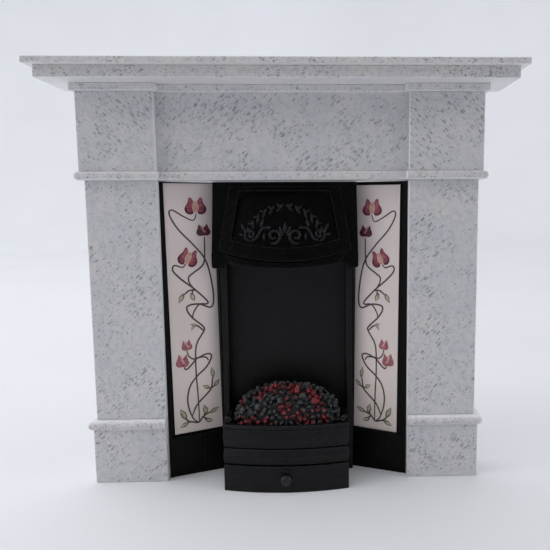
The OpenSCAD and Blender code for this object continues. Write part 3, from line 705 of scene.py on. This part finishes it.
# Place, angle, width and height of each leaf
LEAVES = (
    (1.65, 18.15, 150, 0.75, 1.4), (3.1, 18.2, 200, 0.8, 1.2), (3.1, 14.35, 70, 0.5, 0.9),
    (2.95, 14.0, 150, 0.4, 0.8), (5.27, 7.6, 8, 0.7, 1.4), (5.75, 6.1, -40, 0.65, 1.15),
    (4.4, 5.75, 60, 0.65, 1.05), (1.2, 2.5, 25, 0.95, 1.6), (1.3, 1.1, 115, 0.75, 1.2),
    (4.1, 2.7, 10, 0.85, 1.3), (5.3, 2.45, -65, 0.7, 1.4), (4.5, 1.2, -110, 0.75, 1.1),
)
ink_materials = [
    ink_material("ink_stem", (0.045, 0.03, 0.028), (0.09, 0.06, 0.055)),
    ink_material("ink_leaf", (0.10, 0.095, 0.055), (0.20, 0.185, 0.105)),
    ink_material("ink_leaf_pale", (0.33, 0.31, 0.22), (0.50, 0.46, 0.34)),
    ink_material("ink_petal", (0.17, 0.025, 0.046), (0.33, 0.06, 0.10)),
    ink_material("ink_petal_light", (0.24, 0.06, 0.09), (0.42, 0.14, 0.17)),
    ink_material("ink_petal_dark", (0.045, 0.009, 0.014), (0.12, 0.02, 0.032)),
    ink_material("ink_pink", (0.34, 0.12, 0.16), (0.44, 0.19, 0.22)),
    ink_material("ink_peach", (0.36, 0.18, 0.16), (0.70, 0.44, 0.34), 6.5),
]
for side, label in ((-1, "left"), (1, "right")):
    bm = bmesh.new()
    for points in STEMS:
        print_stem(bm, side, points)
    for leaf in LEAVES:
        print_leaf(bm, side, *leaf)
    for flower in FLOWERS:
        print_flower(bm, side, *flower)
    finish_piece("tile_print_" + label, bm, ink_materials, "mantel", smooth=False)


# ---------- the basket's curled lugs ----------

# Where the curl's eye is, how far it reaches from there, and the bar that it is bent from, in millimetres
LUG_X, LUG_Y, LUG_Z = 7.45, -7.95, 9.34
LUG_REACH = 0.38
LUG_BAR = 0.12
LUG_SIDES = 8

lugs = bmesh.new()
for side in (-1, 1):
    path = spiral(LUG_X, LUG_Z, 0.06, LUG_REACH, 60, -330, 22)
    rings = []
    for i, point in enumerate(path):
        n = path_normal(path, i)
        half = LUG_BAR * (1 + 0.5 * i / len(path))
        ring = []
        for j in range(LUG_SIDES):
            turn = math.tau * j / LUG_SIDES
            at = point + n * (half * math.cos(turn))
            ring.append(lugs.verts.new((side * at.x, LUG_Y + 0.26 * math.sin(turn), at.y)))
        rings.append(ring)
    for a, b in zip(rings, rings[1:]):
        for j in range(LUG_SIDES):
            k = (j + 1) % LUG_SIDES
            lugs.faces.new((a[j], a[k], b[k], b[j]))
    lugs.faces.new(rings[0])
    lugs.faces.new(rings[-1][::-1])
finish_piece("basket_lugs", lugs, [iron_basket], "fire_basket", ("basket_finials",))


# ---------- the ash pan's knob ----------


def lathe(bm, profile, centre, steps=40):
    """Turns a profile of radius and distance towards the room about a level axis through centre."""
    rings = []
    for r, out in profile:
        ring = []
        for i in range(steps):
            turn = math.tau * i / steps
            ring.append(bm.verts.new(centre + Vector((r * math.cos(turn), -out, r * math.sin(turn)))))
        rings.append(ring)
    for a, b in zip(rings, rings[1:]):
        for i in range(steps):
            j = (i + 1) % steps
            bm.faces.new((a[i], a[j], b[j], b[i]))
    bm.faces.new(rings[0])
    bm.faces.new(rings[-1])


knob_low, knob_high = (Vector(corner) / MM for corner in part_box("ash_pan_knob"))
knob_r = (knob_high.x - knob_low.x) / 2
knob_l = knob_high.y - knob_low.y
knob_middle = (knob_low + knob_high) / 2
neck_r, neck_l = 0.34, 0.2
collar_r, collar_l = 0.42, 0.26
widest = 0.54
tip_r = 0.03
knob = bmesh.new()
knob_profile = [(neck_r, 0.0), (neck_r, neck_l), (collar_r, collar_l)]
for i in range(13):
    turn = math.radians(-60 + 150 * i / 12)
    radius = tip_r + (knob_r - tip_r) * math.cos(turn)
    knob_profile.append((radius, widest + (knob_l - widest) * math.sin(turn)))
lathe(knob, knob_profile, Vector((knob_middle.x, knob_high.y, knob_middle.z)))
# The knob is painted twice as light as the other black: painted light.
iron_knob = black_material("black_knob", "Y", 0, layer=0.12, shade=2.0, layer_depth=0.012, sheen=0.36)
finish_piece("ash_pan_pull", knob, [iron_knob], "ash_pan", ("ash_pan_knob",))


# ---------- the coals ----------

# Where the red patches are on the heap, in millimetres, and how far each one reaches
EMBERS = (
    (-2.1, -5.7, 12.7, 1.9), (-0.8, -5.5, 13.0, 1.5), (1.0, -6.1, 12.6, 1.9), (1.4, -4.9, 13.2, 1.4),
    (3.1, -5.9, 12.4, 1.5), (3.9, -6.5, 11.7, 1.4), (-3.6, -6.2, 12.0, 1.5), (-5.7, -5.8, 10.9, 1.4),
    (0.0, -7.7, 10.7, 1.8), (0.4, -7.9, 10.0, 1.5), (1.8, -7.9, 9.6, 1.6), (4.2, -7.0, 10.8, 1.7),
    (3.1, -7.8, 9.2, 1.4), (4.7, -7.4, 8.9, 1.3), (-5.9, -6.8, 8.5, 1.7), (-4.2, -7.6, 8.6, 1.9),
    (-2.6, -7.9, 8.7, 1.8), (-3.4, -7.5, 10.3, 1.0),
)
# The heap's middle, its reach from there along each axis, and how square its shoulders are
HEAP = (Vector((0, -4.7, 8.0)), Vector((7.0, 3.45, 4.95)), 2.3)
COAL_TOP = 13.4
COAL_FOOT = 5.0
LUMP_CORNERS = 8
LUMP_TRIES = 16000
LUMP_SPACING = 0.78
GOLDEN_TURN = 2.39996
BASE_SIDES = 48
BASE_RINGS = 10
BASE_SHARE = 0.9
# The liner's inside: half its width, and where its back and its bowed front are
LINER_X = 7.1
LINER_BACK = -1.0
LINER_FRONT = -8.36
LINER_BOW = 62.2


def ember(point):
    """How red a lump is: the paint lies in a few patches."""
    best = 0.0
    for x, y, z, reach in EMBERS:
        best = max(best, 1.05 - (point - Vector((x, y, z))).length / reach)
    return max(0.0, best + 0.45 * noise.noise(point * 0.9))


random.seed(24)
coal = bmesh.new()
ember_layer = coal.verts.layers.float.new("ember")
dust_and_crown_light_layer = coal.verts.layers.float.new("dust")


def on_heap(direction):
    """The heap's surface in a direction from its middle: an ellipsoid with fuller shoulders."""
    middle, reach, power = HEAP
    norm = sum(abs(c) ** power for c in direction) ** (1 / power)
    return middle + Vector(c * r / norm for c, r in zip(direction, reach))


# The body under the lumps
base_rings = []
for k in range(BASE_RINGS):
    rise = math.pi / 2 * k / BASE_RINGS
    ring = []
    for i in range(BASE_SIDES):
        turn = math.tau * i / BASE_SIDES
        out = Vector((math.cos(turn) * math.cos(rise), math.sin(turn) * math.cos(rise), math.sin(rise)))
        ring.append(coal.verts.new(HEAP[0] + (on_heap(out) - HEAP[0]) * BASE_SHARE))
    base_rings.append(ring)
foot = [coal.verts.new((v.co.x, v.co.y, COAL_FOOT)) for v in base_rings[0]]
for a, b in zip([foot] + base_rings, base_rings):
    for i in range(BASE_SIDES):
        j = (i + 1) % BASE_SIDES
        coal.faces.new((a[i], a[j], b[j], b[i]))
coal.faces.new(foot)
coal.faces.new(base_rings[-1])


def kept_in_liner(point, room):
    """The nearest place to point that is room mm clear of the liner's walls."""
    x = max(room - LINER_X, min(LINER_X - room, point.x))
    y = max(x * x / LINER_BOW + LINER_FRONT + room, min(LINER_BACK - room, point.y))
    return Vector((x, y, min(point.z, COAL_TOP - room)))


def add_lump(point, size):
    """One broken lump of coal: the hull of a few points about its middle."""
    turn = Euler([random.uniform(0, math.tau) for _ in range(3)]).to_matrix()
    squash = Vector([random.uniform(0.75, 1.25) for _ in range(3)]) * size
    corners = []
    for i in range(LUMP_CORNERS):
        lift = 1 - 2 * (i + 0.5) / LUMP_CORNERS
        around = i * GOLDEN_TURN + random.uniform(-0.5, 0.5)
        flat = math.sqrt(1 - lift * lift)
        way = Vector((flat * math.cos(around), flat * math.sin(around), lift)) * random.uniform(0.7, 1.25)
        at = point + turn @ Vector((way.x * squash.x, way.y * squash.y, way.z * squash.z))
        corner = coal.verts.new((at.x, at.y, min(at.z, COAL_TOP)))
        corner[ember_layer] = ember(corner.co)
        # Paler towards each lump's top: grey dust and painted light.
        corner[dust_and_crown_light_layer] = max(0.0, min(1.0, (corner.co - point).z / size * 0.8 + 0.3))
        corners.append(corner)
    hull = bmesh.ops.convex_hull(coal, input=corners)
    bmesh.ops.delete(coal, geom=hull["geom_interior"], context="VERTS")


spots = []
for _ in range(LUMP_TRIES):
    direction = Vector([random.gauss(0, 1) for _ in range(3)])
    direction.z = abs(direction.z)
    size = random.uniform(0.3, 0.6)
    sunk = Vector((0, 0, random.uniform(-0.5, 0.15)))
    point = kept_in_liner(on_heap(direction.normalized()) + sunk, size)
    if any((point - other).length < LUMP_SPACING * (size + its_size) for other, its_size in spots):
        continue
    spots.append((point, size))
    add_lump(point, size)
finish_piece("coal_heap", coal, [coal_material("coal")], "coals", ("coal_bed",), smooth=False)


# ---------- floor, lights and camera ----------


def studio_material():
    """The pale sheet that the object stands on, with painted shade to the right and painted light high up."""
    sh = Shader("studio_sheet")
    place = sh.place()
    tone = sh.mix(sh.ramp(sh.noise(place, 0.02, 2), 0.3, 0.7), (0.81, 0.82, 0.845), (0.83, 0.84, 0.865))
    # Painted shade: darker towards the right.
    over = sh.ramp(sh.dot(place, (1.0, 0.0, 0.0)), -60.0, 60.0, 0.0, 0.07)
    tone = sh.mix(over, tone, (0.0, 0.0, 0.0))
    # Painted light: paler high up the wall.
    tone = sh.mix(sh.ramp(sh.dot(place, (0.0, 0.0, 1.0)), 60.0, 260.0, 0.0, 0.25), tone, (0.93, 0.94, 0.965))
    return sh.surface(tone, 0.8, sh.math("MULTIPLY", sh.noise(place, 1.5, 2), 0.004), 0.2)


def studio_bowl():
    """A flat floor that turns up into a wall all round, with no edge to see."""
    flat, bend, top = 0.42, 0.3, 0.6
    sides = 96
    profile = [(0.02, 0.0), (flat / 2, 0.0), (flat, 0.0)]
    for i in range(1, 13):
        turn = math.pi / 2 * i / 12
        profile.append((flat + bend * math.sin(turn), bend * (1 - math.cos(turn))))
    profile.append((flat + bend, top))
    bm = bmesh.new()
    rings = []
    for r, z in profile:
        turns = [math.tau * i / sides for i in range(sides)]
        rings.append([bm.verts.new((r * math.cos(turn), r * math.sin(turn), z)) for turn in turns])
    for a, b in zip(rings, rings[1:]):
        for i in range(sides):
            j = (i + 1) % sides
            bm.faces.new((a[i], a[j], b[j], b[i]))
    bm.faces.new(rings[0])
    bmesh.ops.recalc_face_normals(bm, faces=bm.faces)
    mesh = bpy.data.meshes.new("studio_floor")
    bm.to_mesh(mesh)
    bm.free()
    mesh.shade_smooth()
    mesh.materials.append(studio_material())
    sheet = bpy.data.objects.new("studio_floor", mesh)
    scene.collection.objects.link(sheet)


studio_bowl()


def soft_light(name, place, target, size, energy, colour):
    lamp = bpy.data.lights.new(name, "AREA")
    lamp.shape = "RECTANGLE"
    lamp.size, lamp.size_y = size
    lamp.energy = energy
    lamp.color = colour
    thing = bpy.data.objects.new(name, lamp)
    thing.location = place
    thing.rotation_euler = (Vector(target) - Vector(place)).to_track_quat("-Z", "Y").to_euler()
    scene.collection.objects.link(thing)


SKY_COLOUR = (0.98, 0.982, 1.0)
FILL_COLOUR = (0.98, 0.985, 1.0)
soft_light("sky", (-0.30, 0.0, 1.05), (0, 0.0, 0), (1.7, 1.5), 10.6, SKY_COLOUR)
soft_light("fill_left", (-0.45, -0.10, 0.16), (0, 0, 0.02), (0.3, 0.3), 0.8, FILL_COLOUR)
soft_light("fill_right", (0.45, -0.10, 0.16), (0, 0, 0.02), (0.3, 0.3), 0.6, FILL_COLOUR)


def camera_card():
    """The dark back of the camera and of whoever holds it, which the black plastic mirrors."""
    mesh = bpy.data.meshes.new("camera_card")
    distance = 0.15
    corners = [(-0.13, 0.035), (0.14, 0.035), (0.14, 0.15), (-0.13, 0.15)]
    mesh.from_pydata([(x, -distance, z) for x, z in corners], [], [(0, 1, 2, 3)])
    sh = Shader("camera_card")
    tone = sh.mix(sh.noise(sh.place(), 0.02, 2), (0.01, 0.01, 0.012), (0.03, 0.03, 0.034))
    mesh.materials.append(sh.surface(tone, 0.9, 0.0, 0.1))
    sheet = bpy.data.objects.new("camera_card", mesh)
    sheet.visible_camera = False
    scene.collection.objects.link(sheet)


camera_card()

world = bpy.data.worlds.new("studio")
scene.world = world
world.use_nodes = True
world.node_tree.nodes["Background"].inputs["Color"].default_value = (0.9, 0.92, 0.97, 1)
world.node_tree.nodes["Background"].inputs["Strength"].default_value = 0.2

CAMERA_PLACE = (0.005024, -0.08327, 0.03686)
CAMERA_YAW = math.radians(-1.846)
CAMERA_PITCH = math.radians(-6.672)
CAMERA_ROLL = math.radians(0.281)
LENS = 39.346
SENSOR = 36
LENS_SHIFT = -0.1236

lens = bpy.data.cameras.new("camera")
camera = bpy.data.objects.new("camera", lens)
scene.collection.objects.link(camera)
scene.camera = camera
lens.sensor_width = SENSOR
lens.lens = LENS
lens.clip_start = 0.005
camera.matrix_world = Matrix.Translation(CAMERA_PLACE) @ (
    Matrix.Rotation(CAMERA_YAW, 4, "Z")
    @ Matrix.Rotation(CAMERA_PITCH, 4, "X")
    @ Matrix.Rotation(CAMERA_ROLL, 4, "Y")
    @ Matrix.Rotation(math.radians(90), 4, "X")
)

# The picture is off the lens's axis. The shift holds only while the camera stands at its own mark:
# it is whole up to SHIFT_NEAR metres from there, and gone at SHIFT_FAR.
SHIFT_NEAR = 0.002
SHIFT_FAR = 0.006
mark = bpy.data.objects.new("camera_mark", None)
mark.location = camera.location
scene.collection.objects.link(mark)
curve = lens.driver_add("shift_x")
for extra in list(curve.modifiers):
    curve.modifiers.remove(extra)
curve.driver.type = "AVERAGE"
gap = curve.driver.variables.new()
gap.type = "LOC_DIFF"
gap.targets[0].id = camera
gap.targets[1].id = mark
curve.keyframe_points.add(3)
for key, co in zip(curve.keyframe_points, ((0.0, LENS_SHIFT), (SHIFT_NEAR, LENS_SHIFT), (SHIFT_FAR, 0.0))):
    key.co = co
    key.interpolation = "LINEAR"

scene.view_settings.view_transform = "Standard"
scene.view_settings.look = "None"
scene.view_settings.exposure = 0.0
scene.view_settings.gamma = 1.0
